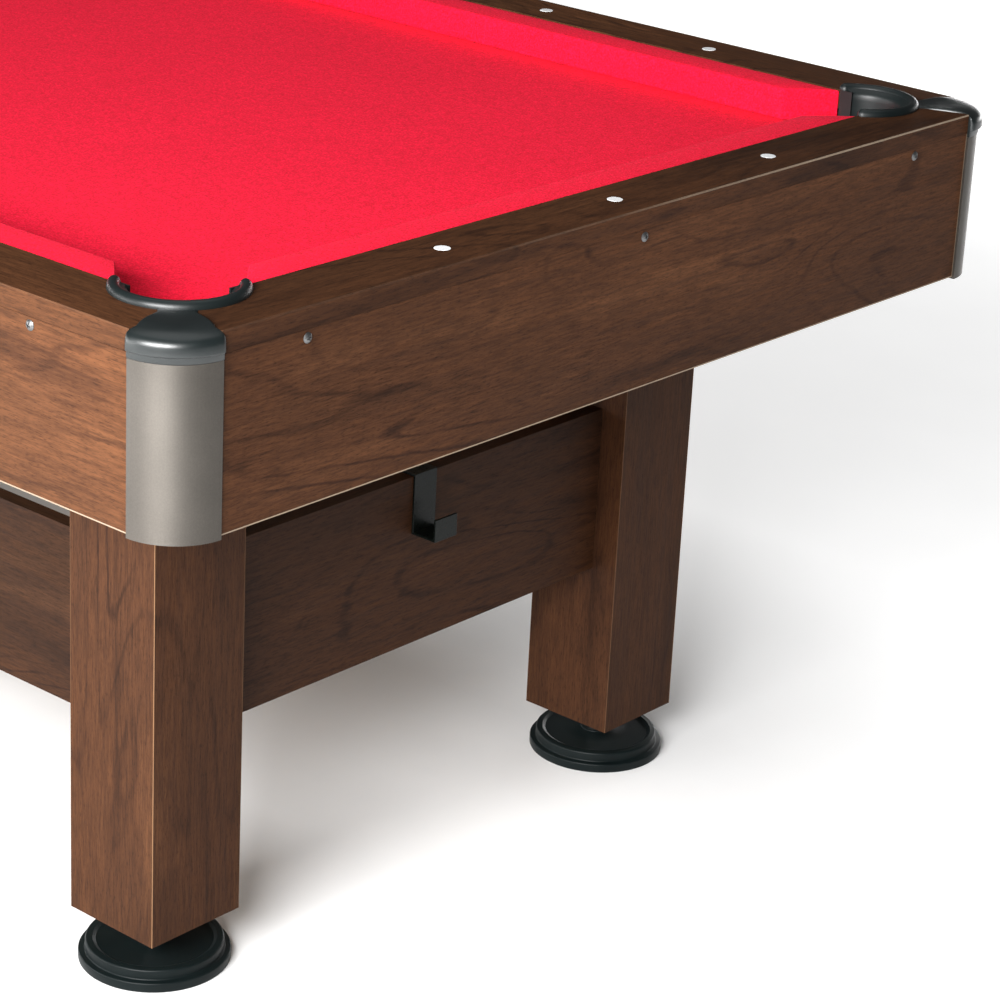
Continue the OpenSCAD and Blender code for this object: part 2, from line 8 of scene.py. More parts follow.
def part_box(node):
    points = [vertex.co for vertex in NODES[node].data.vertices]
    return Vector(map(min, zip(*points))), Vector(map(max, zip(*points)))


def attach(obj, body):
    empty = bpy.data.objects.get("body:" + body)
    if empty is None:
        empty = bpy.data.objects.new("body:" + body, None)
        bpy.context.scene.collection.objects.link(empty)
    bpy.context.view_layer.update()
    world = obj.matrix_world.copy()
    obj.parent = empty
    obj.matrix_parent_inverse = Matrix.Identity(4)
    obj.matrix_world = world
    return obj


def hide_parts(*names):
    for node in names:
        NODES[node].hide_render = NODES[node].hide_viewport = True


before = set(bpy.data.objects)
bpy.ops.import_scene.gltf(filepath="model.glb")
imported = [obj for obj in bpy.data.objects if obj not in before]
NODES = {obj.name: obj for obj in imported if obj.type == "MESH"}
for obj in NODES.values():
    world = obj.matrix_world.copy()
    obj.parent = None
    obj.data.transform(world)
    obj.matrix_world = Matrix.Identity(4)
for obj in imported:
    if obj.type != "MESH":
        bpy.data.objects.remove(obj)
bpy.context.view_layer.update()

MM = 0.001
# Play between two pieces that fit together
SLIP = 0.2 * MM
CORNERS = {
    "front_right": (1, -1),
    "front_left": (-1, -1),
    "back_right": (1, 1),
    "back_left": (-1, 1),
}

# ---- Places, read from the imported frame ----

OUT_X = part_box("apron_right")[1].x
OUT_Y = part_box("apron_back")[1].y
RAIL_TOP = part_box("rail_end_right")[1].z
RAIL_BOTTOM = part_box("rail_end_right")[0].z
WOOD_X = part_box("rail_end_right")[0].x
WOOD_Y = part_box("rail_back_right")[0].y
NOSE_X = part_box("cushion_end_right")[0].x
NOSE_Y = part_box("cushion_back_right")[0].y
BED_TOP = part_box("bed_cloth")[1].z
BOARD_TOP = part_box("bed_board")[1].z
APRON_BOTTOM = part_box("apron_right")[0].z
CAP_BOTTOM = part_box("corner_cap_back_right")[0].z
CAP_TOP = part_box("corner_cap_back_right")[1].z
CAP_OUT_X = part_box("corner_cap_back_right")[1].x
APRON_END_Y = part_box("apron_right")[1].y
TURN_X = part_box("apron_back")[1].x + SLIP
TURN_Y = APRON_END_Y + SLIP
CAP_R = CAP_OUT_X - TURN_X
LIP_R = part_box("side_pocket_back")[1].y - WOOD_Y
LINER_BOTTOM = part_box("side_pocket_back")[0].z
POCKET_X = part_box("corner_pocket_back_right")[1].x - LIP_R
POCKET_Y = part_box("corner_pocket_back_right")[1].y - LIP_R
LEG_LOW, LEG_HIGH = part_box("leg_back_right")
PAD_LOW, PAD_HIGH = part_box("leveller_pad_back_right")


# ---- Mesh helpers ----

def arc(centre, radius, start, end, steps):
    """Points on an arc, angles in degrees, both ends included."""
    angles = [math.radians(start + (end - start) * i / steps) for i in range(steps + 1)]
    return [(centre[0] + radius * math.cos(a), centre[1] + radius * math.sin(a)) for a in angles]


def add_piece(name, verts, faces, material, slot, smooth_angle=35):
    """Makes a mesh object whose edges sharper than the angle stay crisp."""
    mesh = bpy.data.meshes.new(name)
    mesh.from_pydata([tuple(v) for v in verts], [], faces)
    mesh.validate()
    mesh.update()
    mesh.shade_smooth()
    mesh.set_sharp_from_angle(angle=math.radians(smooth_angle))
    piece = bpy.data.objects.new(name, mesh)
    bpy.context.scene.collection.objects.link(piece)
    mesh.materials.append(material)
    return piece


def mirrored(verts, faces, sx, sy):
    """Mirrors a +X, +Y shape to the side given by the two signs, keeping faces outward."""
    moved = [(x * sx, y * sy, z) for x, y, z in verts]
    if sx * sy < 0:
        faces = [tuple(reversed(f)) for f in faces]
    return moved, faces


def loft(rings, closed_path=False):
    """Joins equal closed rings of points by quads, and closes both ends of an open path."""
    count = len(rings[0])
    verts = [p for ring in rings for p in ring]
    faces = []
    spans = len(rings) if closed_path else len(rings) - 1
    for i in range(spans):
        a = i * count
        b = ((i + 1) % len(rings)) * count
        for j in range(count):
            k = (j + 1) % count
            faces.append((a + j, a + k, b + k, b + j))
    if not closed_path:
        faces.append(tuple(reversed(range(count))))
        faces.append(tuple(range((len(rings) - 1) * count, len(rings) * count)))
    return verts, faces


def lathe(section, centre, start, end, steps):
    """Turns a closed (radius, height) section about a vertical axis."""
    full = abs(end - start) >= 360
    rings = []
    for i in range(steps if full else steps + 1):
        a = math.radians(start + (end - start) * i / steps)
        rings.append([(centre[0] + r * math.cos(a), centre[1] + r * math.sin(a), z)
                      for r, z in section])
    return loft(rings, closed_path=full)


def joined(*parts):
    verts, faces = [], []
    for part_verts, part_faces in parts:
        base = len(verts)
        verts += part_verts
        faces += [tuple(i + base for i in f) for f in part_faces]
    return verts, faces


def offset_ring(points, amount):
    """Moves each point of a closed 2-D outline inwards by the amount."""
    p = np.array(points, float)
    tangent = np.roll(p, -1, 0) - np.roll(p, 1, 0)
    tangent /= np.linalg.norm(tangent, axis=1)[:, None]
    normal = np.stack([-tangent[:, 1], tangent[:, 0]], 1)
    if signed_area(points) < 0:
        normal = -normal
    return [tuple(q) for q in p + normal * amount]


def signed_area(points):
    p = np.array(points, float)
    q = np.roll(p, -1, 0)
    return 0.5 * float(np.sum(p[:, 0] * q[:, 1] - q[:, 0] * p[:, 1]))


# ---- Materials ----

def new_material(name):
    material = bpy.data.materials.new(name)
    material.use_nodes = True
    return material, material.node_tree, material.node_tree.nodes["Principled BSDF"]


def add_node(tree, kind, settings=None, **inputs):
    """Adds a node; inputs that are sockets are linked, and other values are set."""
    node = tree.nodes.new(kind)
    for key, value in (settings or {}).items():
        setattr(node, key, value)
    for key, value in inputs.items():
        numbered = key[0] == "i" and key[1:].isdigit()
        socket = node.inputs[int(key[1:]) if numbered else key]
        if isinstance(value, bpy.types.NodeSocket):
            tree.links.new(value, socket)
        else:
            socket.default_value = value
    return node


def maths(tree, operation, a, b=0.0):
    return add_node(tree, "ShaderNodeMath", {"operation": operation}, i0=a, i1=b).outputs[0]


def noise(tree, vector, scale, detail=4.0, roughness=0.55, distortion=0.0):
    return add_node(tree, "ShaderNodeTexNoise", None, Vector=vector, Scale=scale, Detail=detail,
                    Roughness=roughness, Distortion=distortion).outputs["Fac"]


def ramp(tree, fac, stops):
    node = add_node(tree, "ShaderNodeValToRGB", None, Fac=fac)
    elements = node.color_ramp.elements
    while len(elements) < len(stops):
        elements.new(0.5)
    for element, (place, colour) in zip(elements, stops):
        element.position = place
        element.color = (*colour, 1)
    return node.outputs["Color"]


def mix(tree, blend, fac, a, b):
    node = tree.nodes.new("ShaderNodeMix")
    node.data_type = "RGBA"
    node.blend_type = blend
    for socket, value in ((node.inputs[0], fac), (node.inputs[6], a), (node.inputs[7], b)):
        if isinstance(value, bpy.types.NodeSocket):
            tree.links.new(value, socket)
        else:
            socket.default_value = value
    return node.outputs[2]


def bump(tree, height, strength, distance):
    return add_node(tree, "ShaderNodeBump", None, Height=height, Strength=strength,
                    Distance=distance).outputs["Normal"]


def object_coords(tree):
    return add_node(tree, "ShaderNodeTexCoord").outputs["Object"]


def stretched_coords(tree, coords, scale, shift):
    return add_node(tree, "ShaderNodeMapping", None, Vector=coords, Scale=scale,
                    Location=shift).outputs["Vector"]


def near(tree, value, place, reach):
    """1 within reach of the place, else 0."""
    away = maths(tree, "ABSOLUTE", maths(tree, "SUBTRACT", value, place))
    return maths(tree, "LESS_THAN", away, reach)


def absolute_axes(tree, coords):
    split = add_node(tree, "ShaderNodeSeparateXYZ", None, Vector=coords)
    x = maths(tree, "ABSOLUTE", split.outputs[0])
    y = maths(tree, "ABSOLUTE", split.outputs[1])
    return x, y, split.outputs[2]


WALNUT_DARK = (0.036, 0.0132, 0.0050)
WALNUT_MID = (0.073, 0.0280, 0.0106)
WALNUT_LIGHT = (0.114, 0.0465, 0.0185)
# Pale edge colour: bare core on the aprons' edges, and a painted highlight on the rails' upper
# outer edges
BARE_EDGE_AND_HIGHLIGHT = (0.28, 0.215, 0.155)
LEG_EDGE = (0.23, 0.125, 0.062)
RING_COUNT = 15.0


def walnut(name, grain, light_and_shade_tone=1.0, shift=(0, 0, 0), edge_mask=None, edge_colour=BARE_EDGE_AND_HIGHLIGHT):
    """Printed walnut laminate with its grain along one axis (0, 1 or 2)."""
    material, tree, shader = new_material(name)
    coords = object_coords(tree)

    def along(long_scale, cross_scale):
        scale = [cross_scale] * 3
        scale[grain] = long_scale
        return stretched_coords(tree, coords, scale, shift)

    hills = noise(tree, along(1.5, 6.5), 1.0, 1.5, 0.45, 0.6)
    wobble = noise(tree, along(22.0, 75.0), 1.0, 3.0, 0.6)
    hills = maths(tree, "ADD", hills, maths(tree, "MULTIPLY", wobble, 0.022))
    rings = maths(tree, "FRACT", maths(tree, "MULTIPLY", hills, RING_COUNT))
    from_line = maths(tree, "ABSOLUTE", maths(tree, "SUBTRACT", rings, 0.5))
    ring_lines = ramp(tree, from_line, [(0.0, (1.0,) * 3), (0.05, (0.75,) * 3),
                                        (0.12, (0.0,) * 3)])
    ring_area = ramp(tree, noise(tree, along(2.2, 6.0), 1.0, 2.0),
                     [(0.44, (0.0,) * 3), (0.60, (1.0,) * 3)])
    broken = ramp(tree, noise(tree, along(9.0, 120.0), 1.0, 3.0),
                  [(0.36, (0.25,) * 3), (0.58, (1.0,) * 3)])
    figure = noise(tree, along(1.7, 13.0), 1.0, 7.0, 0.6, 0.5)
    streak = noise(tree, along(6.0, 150.0), 1.0, 4.0, 0.6)
    fibre = noise(tree, along(38.0, 430.0), 1.0, 4.0, 0.65)
    pore = noise(tree, along(150.0, 1100.0), 1.0, 2.0, 0.5)
    broad = noise(tree, along(0.8, 3.0), 1.3, 2.0, 0.5)
    # The tone scales the colours to paint light and shade into this copy of the laminate
    dark, mid, light = [tuple(c * light_and_shade_tone for c in colour)
                        for colour in (WALNUT_DARK, WALNUT_MID, WALNUT_LIGHT)]
    colour = ramp(tree, figure, [(0.32, dark), (0.46, mid), (0.56, mid), (0.72, light)])
    colour = mix(tree, "MULTIPLY", 0.8, colour,
                 ramp(tree, streak, [(0.32, (0.76, 0.74, 0.72)), (0.64, (1.12, 1.12, 1.12))]))
    colour = mix(tree, "MULTIPLY", 0.9, colour,
                 ramp(tree, fibre, [(0.30, (0.56, 0.53, 0.50)), (0.60, (1.20, 1.20, 1.20))]))
    colour = mix(tree, "MULTIPLY", 0.8, colour,
                 ramp(tree, pore, [(0.28, (0.42, 0.40, 0.38)), (0.46, (1.08, 1.08, 1.08))]))
    colour = mix(tree, "MULTIPLY", 0.7, colour,
                 ramp(tree, broad, [(0.35, (0.74, 0.74, 0.76)), (0.65, (1.24, 1.18, 1.12))]))
    ring_mask = maths(tree, "MULTIPLY", maths(tree, "MULTIPLY", ring_lines, ring_area), broken)
    ring_mask = maths(tree, "MULTIPLY", ring_mask, 0.8)
    colour = mix(tree, "MULTIPLY", ring_mask, colour, (0.34, 0.30, 0.30, 1))
    if edge_mask is not None:
        colour = mix(tree, "MIX", edge_mask(tree, coords), colour, (*edge_colour, 1))
    tree.links.new(colour, shader.inputs["Base Color"])
    gloss = ramp(tree, streak, [(0.2, (0.56,) * 3), (0.8, (0.68,) * 3)])
    tree.links.new(gloss, shader.inputs["Roughness"])
    shader.inputs["Specular IOR Level"].default_value = 0.11
    tree.links.new(bump(tree, pore, 0.15, 0.0003), shader.inputs["Normal"])
    return material


def lower_edge(tree, coords):
    """Bare core along the apron's lower edge."""
    _, _, z = absolute_axes(tree, coords)
    return maths(tree, "MULTIPLY", near(tree, z, APRON_BOTTOM, 1.3 * MM), 0.9)


def end_apron_edges(tree, coords):
    """Bare core along the lower edge, and a pale line up the end that meets the post, at the +Y
    end only.
    """
    across = add_node(tree, "ShaderNodeSeparateXYZ", None, Vector=coords).outputs[1]
    upright = maths(tree, "MULTIPLY", near(tree, across, APRON_END_Y, 1.3 * MM), 0.6)
    return maths(tree, "MAXIMUM", lower_edge(tree, coords), upright)


def rail_edge_core_and_highlight(tree, coords):
    """Pale line along the upper outer edge of the rails, partly bare core and partly a painted
    highlight of the rounded edge, growing towards +Y.
    """
    x, y, z = absolute_axes(tree, coords)
    across = add_node(tree, "ShaderNodeSeparateXYZ", None, Vector=coords).outputs[1]
    high = near(tree, z, RAIL_TOP, 1.5 * MM)
    rim = maths(tree, "MAXIMUM", near(tree, x, OUT_X, 1.5 * MM), near(tree, y, OUT_Y, 1.5 * MM))
    place = maths(tree, "ADD", maths(tree, "MULTIPLY", across, 0.9), noise(tree, coords, 2.0, 3.0))
    # Painted highlight and wear on the rail edge: stronger towards +Y, broken up by noise
    wear_and_highlight = ramp(tree, place, [(0.25, (0.03,) * 3), (0.75, (0.85,) * 3)])
    return maths(tree, "MULTIPLY", maths(tree, "MULTIPLY", high, rim), wear_and_highlight)


def leg_edges(tree, coords):
    """Pale joint lines where the leg's boards meet, clearest on the outer corner."""
    x, y, _ = absolute_axes(tree, coords)
    outer_x, outer_y = near(tree, x, LEG_HIGH.x, 0.7 * MM), near(tree, y, LEG_HIGH.y, 0.7 * MM)
    edge_x = maths(tree, "MAXIMUM", near(tree, x, LEG_LOW.x, 0.7 * MM), outer_x)
    edge_y = maths(tree, "MAXIMUM", near(tree, y, LEG_LOW.y, 0.7 * MM), outer_y)
    faint = maths(tree, "MULTIPLY", maths(tree, "MULTIPLY", edge_x, edge_y), 0.25)
    clear = maths(tree, "MULTIPLY", maths(tree, "MULTIPLY", outer_x, outer_y), 0.65)
    return maths(tree, "ADD", faint, clear)


def red_cloth(name):
    """Napped worsted: fine fibre noise in colour and height, with a soft sheen."""
    material, tree, shader = new_material(name)
    coords = object_coords(tree)
    fibre = noise(tree, coords, 480.0, 3.0, 0.7)
    nap = noise(tree, coords, 150.0, 4.0, 0.65)
    cloud = noise(tree, coords, 5.0, 3.0, 0.5)
    colour = ramp(tree, fibre, [(0.30, (0.54, 0.001, 0.008)),
                                (0.68, (0.97, 0.008, 0.052))])
    colour = mix(tree, "MULTIPLY", 0.7, colour,
                 ramp(tree, nap, [(0.3, (0.80, 0.70, 0.70)), (0.7, (1.1, 1.15, 1.15))]))
    colour = mix(tree, "MULTIPLY", 0.4, colour,
                 ramp(tree, cloud, [(0.35, (0.93, 0.9, 0.9)), (0.65, (1.04, 1.06, 1.06))]))
    tree.links.new(colour, shader.inputs["Base Color"])
    shader.inputs["Roughness"].default_value = 0.92
    shader.inputs["Specular IOR Level"].default_value = 0.15
    shader.inputs["Sheen Weight"].default_value = 0.06
    shader.inputs["Sheen Roughness"].default_value = 0.5
    shader.inputs["Sheen Tint"].default_value = (1.0, 0.12, 0.2, 1)
    both = maths(tree, "ADD", fibre, nap)
    tree.links.new(bump(tree, both, 0.5, 0.0008), shader.inputs["Normal"])
    return material


def black_plastic(name, roughness, grain_scale, grain, specular):
    """Moulded plastic with a fine grain and a faint haze."""
    material, tree, shader = new_material(name)
    coords = object_coords(tree)
    grit = noise(tree, coords, grain_scale, 3.0, 0.6)
    haze = noise(tree, coords, 18.0, 3.0, 0.5)
    colour = ramp(tree, haze, [(0.3, (0.0030, 0.0055, 0.0058)), (0.7, (0.0055, 0.0090, 0.0092))])
    tree.links.new(colour, shader.inputs["Base Color"])
    rough = ramp(tree, haze, [(0.3, (roughness * 0.9,) * 3), (0.7, (roughness * 1.12,) * 3)])
    tree.links.new(rough, shader.inputs["Roughness"])
    shader.inputs["Specular IOR Level"].default_value = specular
    tree.links.new(bump(tree, grit, grain, 0.0002), shader.inputs["Normal"])
    return material


def satin_post():
    """Silver-grey lacquered profile with faint vertical drawing lines."""
    material, tree, shader = new_material("satin_post")
    coords = object_coords(tree)
    lines = noise(tree, stretched_coords(tree, coords, (900, 900, 6), (0, 0, 0)), 1.0, 3.0, 0.6)
    speck = noise(tree, coords, 650.0, 2.0, 0.6)
    haze = noise(tree, coords, 14.0, 3.0, 0.5)
    colour = ramp(tree, haze, [(0.3, (0.104, 0.094, 0.083)), (0.7, (0.125, 0.113, 0.100))])
    colour = mix(tree, "MULTIPLY", 0.35, colour,
                 ramp(tree, speck, [(0.3, (0.75,) * 3), (0.7, (1.1,) * 3)]))
    tree.links.new(colour, shader.inputs["Base Color"])
    shader.inputs["Metallic"].default_value = 0.95
    shader.inputs["Anisotropic"].default_value = 0.55
    shader.inputs["Anisotropic Rotation"].default_value = 0.25
    rough = ramp(tree, lines, [(0.3, (0.45,) * 3), (0.7, (0.53,) * 3)])
    tree.links.new(rough, shader.inputs["Roughness"])
    tree.links.new(bump(tree, lines, 0.08, 0.0002), shader.inputs["Normal"])
    return material


def zinc(name, shade):
    """Blotchy plated steel; shade is its brightest grey."""
    material, tree, shader = new_material(name)
    coords = object_coords(tree)
    blotch = noise(tree, coords, 240.0, 3.0, 0.6)
    tree.links.new(ramp(tree, blotch, [(0.3, (shade * 0.7,) * 3), (0.7, (shade,) * 3)]),
                   shader.inputs["Base Color"])
    shader.inputs["Metallic"].default_value = 0.9
    tree.links.new(ramp(tree, blotch, [(0.3, (0.30,) * 3), (0.7, (0.48,) * 3)]),
                   shader.inputs["Roughness"])
    tree.links.new(bump(tree, blotch, 0.1, 0.0002), shader.inputs["Normal"])
    return material


def black_steel():
    """Paint with a slight orange peel."""
    material, tree, shader = new_material("black_steel")
    coords = object_coords(tree)
    orange_peel = noise(tree, coords, 420.0, 3.0, 0.55)
    tree.links.new(ramp(tree, orange_peel, [(0.3, (0.003, 0.004, 0.0035)),
                                            (0.7, (0.006, 0.008, 0.007))]),
                   shader.inputs["Base Color"])
    tree.links.new(ramp(tree, orange_peel, [(0.3, (0.26,) * 3), (0.7, (0.36,) * 3)]),
                   shader.inputs["Roughness"])
    shader.inputs["Specular IOR Level"].default_value = 0.12
    tree.links.new(bump(tree, orange_peel, 0.2, 0.0003), shader.inputs["Normal"])
    return material


def fibreboard():
    """Bare pressed board."""
    material, tree, shader = new_material("fibreboard")
    coords = object_coords(tree)
    fibre = noise(tree, coords, 500.0, 4.0, 0.7)
    cloud = noise(tree, coords, 9.0, 3.0, 0.5)
    colour = ramp(tree, fibre, [(0.3, (0.30, 0.19, 0.105)), (0.7, (0.44, 0.30, 0.18))])
    colour = mix(tree, "MULTIPLY", 0.5, colour,
                 ramp(tree, cloud, [(0.3, (0.85,) * 3), (0.7, (1.08,) * 3)]))
    tree.links.new(colour, shader.inputs["Base Color"])
    shader.inputs["Roughness"].default_value = 0.85
    tree.links.new(bump(tree, fibre, 0.25, 0.0004), shader.inputs["Normal"])
    return material


def white_inlay():
    """Faintly swirled white plastic."""
    material, tree, shader = new_material("white_inlay")
    coords = object_coords(tree)
    swirl = noise(tree, coords, 160.0, 3.0, 0.5, 1.5)
    tree.links.new(ramp(tree, swirl, [(0.3, (0.80, 0.81, 0.83)), (0.7, (0.92, 0.93, 0.94))]),
                   shader.inputs["Base Color"])
    tree.links.new(ramp(tree, swirl, [(0.3, (0.18,) * 3), (0.7, (0.26,) * 3)]),
                   shader.inputs["Roughness"])
    return material


# Copies of one laminate whose tones are painted light and shade: lightest on the front and back
# aprons, which face the key light, darker on the rails, the legs and the end boards that face +X,
# and darkest on the stretchers in the aprons' shadow.
WALNUT_X = walnut("walnut_along_x", 0, 1.2, (0.7, 3.1, 1.2), lower_edge)
WALNUT_Y = walnut("walnut_along_y", 1, 0.76, (2.3, 0.4, 5.2), end_apron_edges)
RAIL_X = walnut("rail_walnut_along_x", 0, 0.82, (4.7, 1.1, 0.3), rail_edge_core_and_highlight)
RAIL_Y = walnut("rail_walnut_along_y", 1, 0.64, (1.9, 2.6, 8.1), rail_edge_core_and_highlight)
LEG_WALNUT = walnut("walnut_upright", 2, 0.62, (5.5, 2.2, 0.9), leg_edges, LEG_EDGE)
STRETCHER_X = walnut("stretcher_walnut_along_x", 0, 0.44, (8.4, 0.2, 3.3))
STRETCHER_Y = walnut("stretcher_walnut_along_y", 1, 0.42, (3.8, 6.1, 0.6))
CLOTH = red_cloth("red_cloth")
CUSHION_CLOTH = red_cloth("red_cushion_cloth")
CAP_PLASTIC = black_plastic("black_cap_plastic", 0.35, 900.0, 0.10, 0.66)
LINER_PLASTIC = black_plastic("black_liner_plastic", 0.40, 800.0, 0.06, 0.42)
PAD_PLASTIC = black_plastic("black_pad_plastic", 0.42, 600.0, 0.16, 0.14)
TRAY_PLASTIC = black_plastic("black_tray_plastic", 0.5, 400.0, 0.2, 0.2)
POST = satin_post()
ZINC = zinc("zinc", 0.6)
DULL_ZINC = zinc("dull_zinc", 0.18)
HOOK_STEEL = black_steel()
BOARD = fibreboard()
INLAY = white_inlay()


# ---- CAD nodes that stay, with small edge radii and their materials ----

BOARD_EDGE_R = 0.6 * MM
RAIL_EDGE_R = 1.6 * MM
LEG_EDGE_R = 0.7 * MM
POST_EDGE_R = 0.4 * MM
HOOK_EDGE_R = 0.5 * MM
SIGHT_EDGE_R = 0.25 * MM


def finish_node(node, material, edge=0.0):
    """Gives a CAD node its material, and rounds its sharp edges by the radius."""
    piece = NODES[node]
    if not piece.material_slots:
        piece.data.materials.append(material)
    for material_slot in piece.material_slots:
        material_slot.material = material
    if edge > 0:
        weld = piece.modifiers.new("weld", "WELD")
        weld.merge_threshold = 1e-5
        flat = piece.modifiers.new("flat_faces", "DECIMATE")
        flat.decimate_type = "DISSOLVE"
        flat.angle_limit = math.radians(0.5)
        bevel = piece.modifiers.new("edge_radius", "BEVEL")
        bevel.width = edge
        bevel.segments = 3
        bevel.limit_method = "ANGLE"
        bevel.angle_limit = math.radians(40)
        weighted = piece.modifiers.new("normals", "WEIGHTED_NORMAL")
        weighted.weight = 100


for side in ("front", "back"):
    finish_node(f"apron_{side}", WALNUT_X, BOARD_EDGE_R)
    finish_node(f"stretcher_{side}", STRETCHER_X, BOARD_EDGE_R)
for side in ("right", "left"):
    finish_node(f"apron_{side}", WALNUT_Y, BOARD_EDGE_R)
    finish_node(f"stretcher_{side}", STRETCHER_Y, BOARD_EDGE_R)
    finish_node(f"rail_end_{side}", RAIL_Y, RAIL_EDGE_R)
for corner in CORNERS:
    finish_node(f"rail_{corner}", RAIL_X, RAIL_EDGE_R)
    finish_node(f"leg_{corner}", LEG_WALNUT, LEG_EDGE_R)
    finish_node(f"corner_post_{corner}", POST, POST_EDGE_R)
    finish_node(f"leveller_stud_{corner}", ZINC)
for node in ("bed_board", "cross_beams", "rail_blocks", "leg_blocks"):
    finish_node(node, BOARD)
for node in ("leveller_nuts", "rail_bolts", "frame_bolts"):
    finish_node(node, ZINC)
finish_node("apron_screws", DULL_ZINC)
for node in ("ball_gutters", "ball_box"):
    finish_node(node, TRAY_PLASTIC)
finish_node("rack_hook", HOOK_STEEL, HOOK_EDGE_R)
finish_node("rail_sights", INLAY, SIGHT_EDGE_R)


# ---- Bed cloth ----

HOLE_R = 48.4 * MM
ROLL_R = 3.0 * MM
TURN_DOWN = 12 * MM
CLOTH_GRID = 0.06


def bed_outline():
    """Anticlockwise outline of the flat part, with a round bite at each pocket."""
    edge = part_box("bed_cloth")[1]
    bite = HOLE_R + ROLL_R
    lean_x = math.degrees(math.acos((edge.x - POCKET_X) / bite))
    lean_y = math.degrees(math.acos((edge.y - POCKET_Y) / bite))
    drop = math.degrees(math.asin((WOOD_Y - edge.y) / bite))
    quarter = arc((POCKET_X, POCKET_Y), bite, 360 - lean_x, 90 + lean_y, 24)
    quarter += arc((0, WOOD_Y), bite, 360 - drop, 270, 16)
    half = quarter + [(-x, y) for x, y in reversed(quarter[:-1])]
    return half + [(-x, -y) for x, y in half]


def make_bed_cloth():
    flat = bed_outline()
    low = np.min(flat, 0)
    high = np.max(flat, 0)
    inner = []
    steps_x = int((high[0] - low[0]) / CLOTH_GRID)
    steps_y = int((high[1] - low[1]) / CLOTH_GRID)
    centres = [(sx * POCKET_X, sy * POCKET_Y) for sx, sy in CORNERS.values()]
    centres += [(0, WOOD_Y), (0, -WOOD_Y)]
    for i in range(1, steps_x):
        for j in range(1, steps_y):
            p = (low[0] + (high[0] - low[0]) * i / steps_x,
                 low[1] + (high[1] - low[1]) * j / steps_y)
            if all(math.dist(p, c) > HOLE_R + ROLL_R + 8 * MM for c in centres):
                inner.append(p)
    count = len(flat)
    points = [Vector(p) for p in flat + inner]
    result = geometry.delaunay_2d_cdt(points, [], [list(range(count))], 1, 1e-7)
    verts = [(v.x, v.y, BED_TOP) for v in result[0]]
    faces = [tuple(f) for f in result[2]]
    origin = {ids[0]: k for k, ids in enumerate(result[3]) if ids}
    # the cloth rolls over each pocket's edge and hangs a little way down its wall
    for c in centres:
        chain = [k for k, p in enumerate(flat) if abs(math.dist(p, c) - HOLE_R - ROLL_R) < 1e-6]
        ring = [origin[k] for k in chain]
        for turn, drop in [(22, 0), (45, 0), (68, 0), (90, 0), (90, 0.5), (90, 1.0)]:
            a = math.radians(turn)
            r = HOLE_R + ROLL_R - ROLL_R * math.sin(a)
            z = BED_TOP - ROLL_R * (1 - math.cos(a)) - drop * TURN_DOWN
            base = len(verts)
            for k in chain:
                direction = (Vector(flat[k]) - Vector(c)).normalized()
                verts.append((c[0] + direction.x * r, c[1] + direction.y * r, z))
            fresh = list(range(base, base + len(chain)))
            for i in range(len(chain) - 1):
                faces.append((ring[i], fresh[i], fresh[i + 1], ring[i + 1]))
            ring = fresh
    piece = add_piece("cloth_on_bed", verts, faces, CLOTH, "red_cloth", 60)
    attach(piece, "root")
    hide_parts("bed_cloth")


# ---- Cushions ----

CUSHION_W = WOOD_Y - NOSE_Y
CUSHION_TOP = RAIL_TOP - 1.2 * MM
CORNER_FLARE = 48.7 * MM
SIDE_FLARE = 10 * MM
END_R = 1.8 * MM
SPAN_STEPS = 24


def cushion_section():
    """Closed outline (distance from the nose, height), from the lower back edge upwards."""
    back = CUSHION_W - 0.6 * MM
    low = BED_TOP + 0.5 * MM
    crown = 0.5 * MM
    outline = [(back, low), (back, BED_TOP + 18 * MM), (back, RAIL_TOP - 4 * MM)]
    outline += arc((back - 2.2 * MM, RAIL_TOP - 3.0 * MM), 2.2 * MM, 0, 90, 5)[1:]
    for share in (0.78, 0.6, 0.42, 0.24):
        height = CUSHION_TOP + crown * math.sin(math.pi * share) + 0.3 * MM * share
        outline.append((CUSHION_W * share, height))
    outline += arc((3.2 * MM, CUSHION_TOP - 3.2 * MM), 3.2 * MM, 90, 180, 6)
    outline += [(0.05 * MM, BED_TOP + 24 * MM), (0.4 * MM, BED_TOP + 15 * MM),
                (0.9 * MM, BED_TOP + 7 * MM)]
    outline += arc((3.2 * MM, low + 2.0 * MM), 2.0 * MM, 180, 270, 4)
    outline += [(CUSHION_W * 0.4, low), (CUSHION_W * 0.75, low)]
    return outline


def cushion_mesh(nose_start, nose_end, flare_start, flare_end, place):
    """Lofts the section between two slanted ends with rounded, wrapped edges."""
    section = cushion_section()
    ends = [(END_R * (1 - math.cos(a)), END_R * (1 - math.sin(a)))
            for a in [math.radians(d) for d in (0, 18, 36, 54, 72, 90)]]
    stations = [(0.0, d, inset) for d, inset in ends]
    stations += [(i / SPAN_STEPS, END_R, 0.0) for i in range(1, SPAN_STEPS)]
    stations += [(1.0, d, inset) for d, inset in reversed(ends)]
    rings = []
    for share, depth, inset in stations:
        ring = []
        for w, z in offset_ring(section, inset):
            out = w / CUSHION_W
            start = nose_start - flare_start * out
            end = nose_end + flare_end * out
            ring.append(place(start + depth + (end - start - 2 * depth) * share, w, z))
        rings.append(ring)
    return loft(rings)


